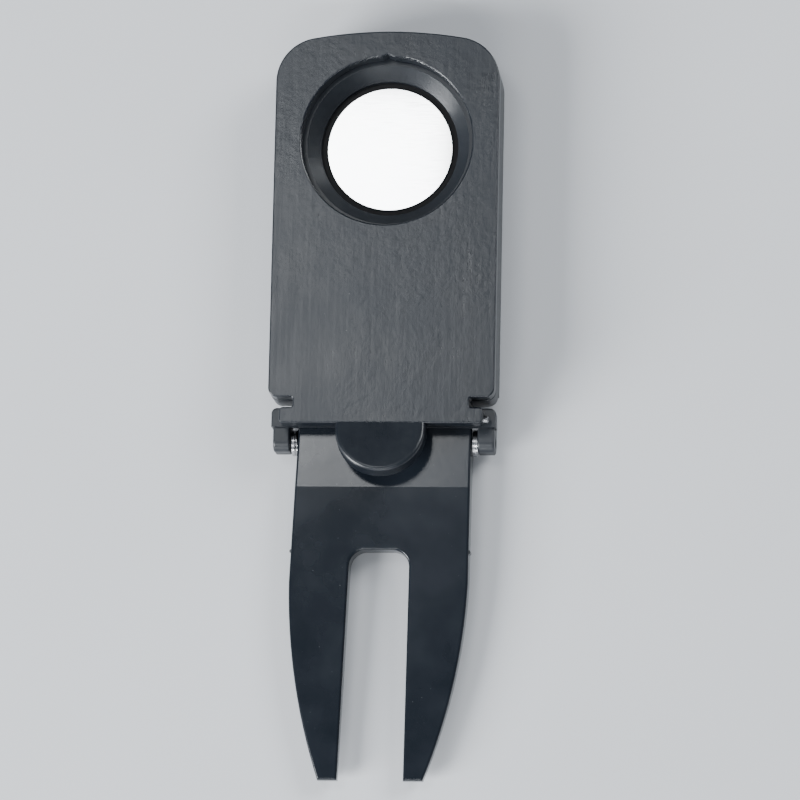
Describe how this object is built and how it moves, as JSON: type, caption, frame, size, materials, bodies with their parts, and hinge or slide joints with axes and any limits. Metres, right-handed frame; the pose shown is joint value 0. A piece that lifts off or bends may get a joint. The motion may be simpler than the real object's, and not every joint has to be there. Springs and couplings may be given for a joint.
{
  "type": "divot repair tool",
  "caption": "Folding two-tine divot repair tool with a magnetic ball-marker recess, a sprung clip plate with a thumb tab, and a fork that folds behind its frame.",
  "frame": {"origin": "bottom centre of the object's box, lying on its back with the fork open", "axes": "+Y towards the ball-marker end, tines towards -Y; +Z out of the front face; +X to the right seen from the front"},
  "size_m": [0.032, 0.1062, 0.0119],
  "materials": {
    "black_coat": "satin black coat over a brushed zinc casting",
    "black_steel": "blackened steel pin",
    "spring_steel": "bright spring steel",
    "washer_steel": "plain zinc-plated washer",
    "nickel_disc": "polished nickel plate, mirror-like",
    "adhesive": "set black epoxy"
  },
  "bodies": {
    "root": {"rear_frame": "black_coat", "clip_axle": "black_steel", "marker_magnet": "nickel_disc", "adhesive_bead": "adhesive", "fork_pin": "black_steel", "left_washer": "washer_steel", "right_washer": "washer_steel", "wave_washer": "spring_steel"},
    "clip": {"clip_plate": "black_coat", "clip_spring": "spring_steel"},
    "fork": {"fork": "black_coat"}
  },
  "joints": [
    {"name": "fork_fold", "type": "hinge", "parent": "root", "child": "fork", "pos_m": [0, -0.0051, 0.00267], "axis": [1, 0, 0], "range_deg": [0, 180]},
    {"name": "clip_open", "type": "hinge", "parent": "root", "child": "clip", "pos_m": [0, -0.00265, 0.0081], "axis": [1, 0, 0], "range_deg": [0, 25], "stiffness_Nm_per_rad": 0.05, "springref_deg": -28.65}
  ]
}
